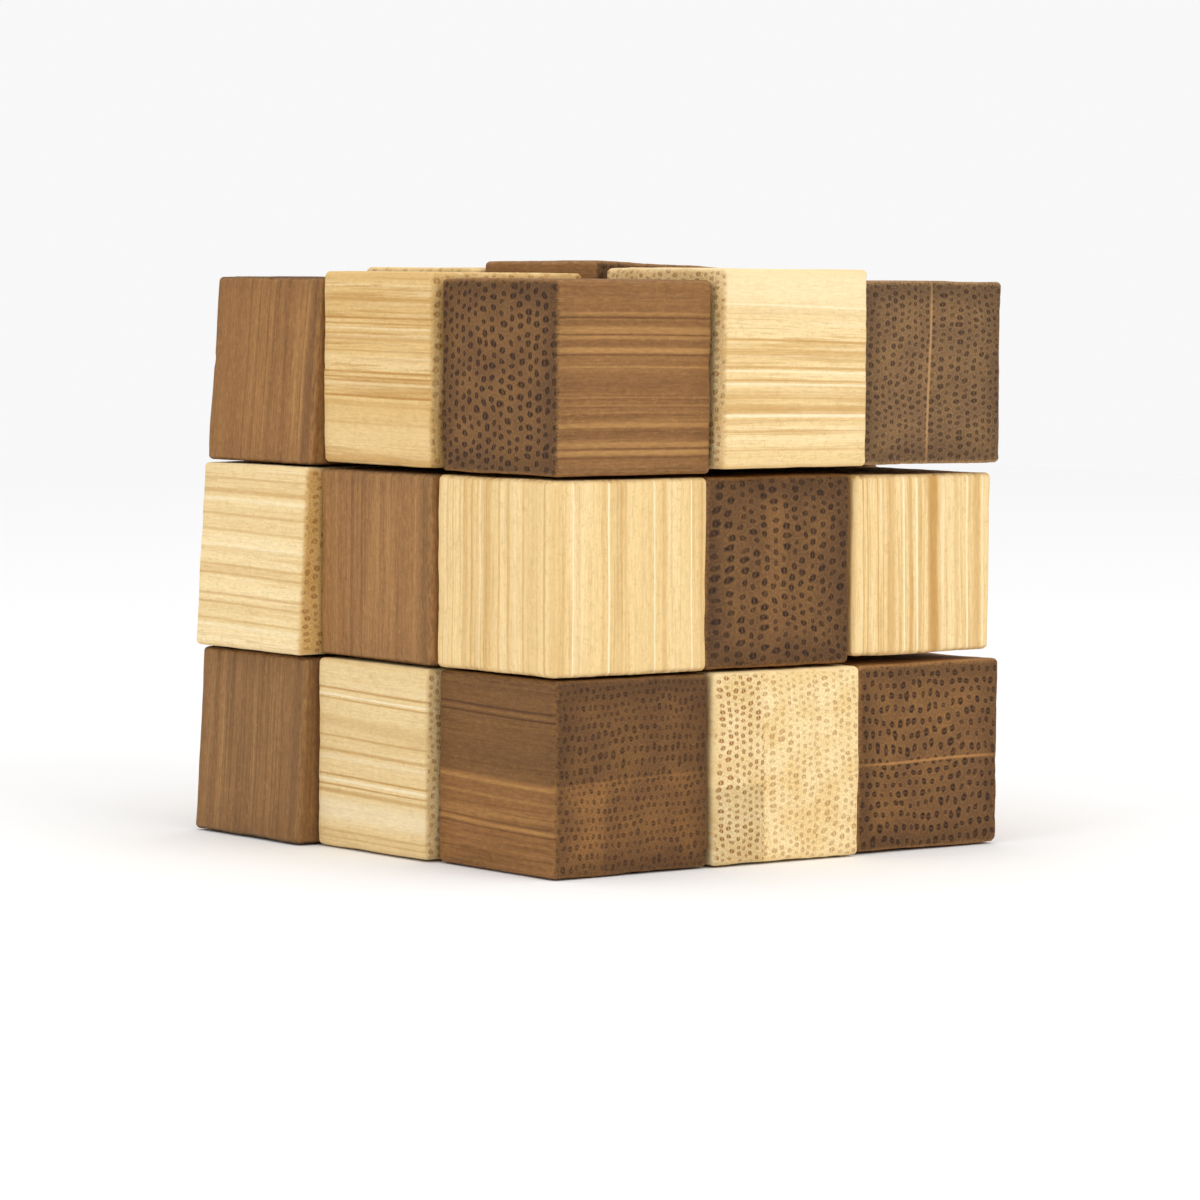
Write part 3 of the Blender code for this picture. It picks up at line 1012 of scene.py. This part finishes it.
def build_floor():
    bpy.ops.mesh.primitive_plane_add(size=FLOOR_SIZE, location=(0, 0, -FLOOR_DROP))
    floor = bpy.context.object
    floor.name = "studio_floor"
    look = Tree("studio_floor")
    look.surface("Base Color", (*FLOOR_COLOUR, 1))
    look.surface("Roughness", 0.9)
    floor.data.materials.append(look.material)


def build_sky():
    """White light from all round, behind which the camera sees a slightly greyer backdrop."""
    world = bpy.data.worlds.new("studio")
    bpy.context.scene.world = world
    world.use_nodes = True
    tree = world.node_tree
    sky = tree.nodes["Background"]
    sky.inputs["Color"].default_value = (1.0, 1.0, 1.0, 1)
    sky.inputs["Strength"].default_value = SKY_STRENGTH
    backdrop = tree.nodes.new("ShaderNodeBackground")
    backdrop.inputs["Color"].default_value = BACKDROP_COLOUR
    seen = tree.nodes.new("ShaderNodeLightPath")
    choice = tree.nodes.new("ShaderNodeMixShader")
    tree.links.new(seen.outputs["Is Camera Ray"], choice.inputs[0])
    tree.links.new(sky.outputs[0], choice.inputs[1])
    tree.links.new(backdrop.outputs[0], choice.inputs[2])
    tree.links.new(choice.outputs[0], tree.nodes["World Output"].inputs["Surface"])


def add_light(name, kind, energy):
    data = bpy.data.lights.new(name, kind)
    data.energy = energy
    light = bpy.data.objects.new(name, data)
    bpy.context.scene.collection.objects.link(light)
    return light


def build_lights():
    for name, (place, energy) in SOFTBOXES.items():
        light = add_light(name, "AREA", energy)
        light.data.shape = "RECTANGLE"
        light.data.size = light.data.size_y = SOFTBOX_SIZE
        light.location = place
        light.rotation_mode = "QUATERNION"
        light.rotation_quaternion = (CUBE_MIDDLE - Vector(place)).to_track_quat("-Z", "Y")
    overhead = add_light("overhead", "SUN", OVERHEAD_STRENGTH)
    overhead.data.angle = math.radians(OVERHEAD_SPREAD)


def build_camera():
    azimuth, elevation = math.radians(CAMERA_AZIMUTH), math.radians(CAMERA_ELEVATION)
    level = math.cos(elevation)
    back = Vector((math.sin(azimuth) * level, -math.cos(azimuth) * level, math.sin(elevation)))
    right = Vector((0, 0, 1)).cross(back).normalized()
    up = back.cross(right)
    data = bpy.data.cameras.new("camera")
    data.sensor_width = CAMERA_SENSOR
    data.lens = CAMERA_LENS
    data.clip_start = 0.02
    data.clip_end = 30.0
    camera = bpy.data.objects.new("camera", data)
    bpy.context.scene.collection.objects.link(camera)
    shift = right * CAMERA_SHIFT[0] + up * CAMERA_SHIFT[1]
    camera.location = CAMERA_TARGET + back * CAMERA_DISTANCE + shift
    camera.rotation_mode = "QUATERNION"
    roll = Quaternion(back, math.radians(CAMERA_ROLL))
    camera.rotation_quaternion = roll @ (-back).to_track_quat("-Z", "Y")
    bpy.context.scene.camera = camera


build_object()
build_floor()
build_sky()
build_lights()
build_camera()
bpy.context.scene.view_settings.view_transform = "Standard"
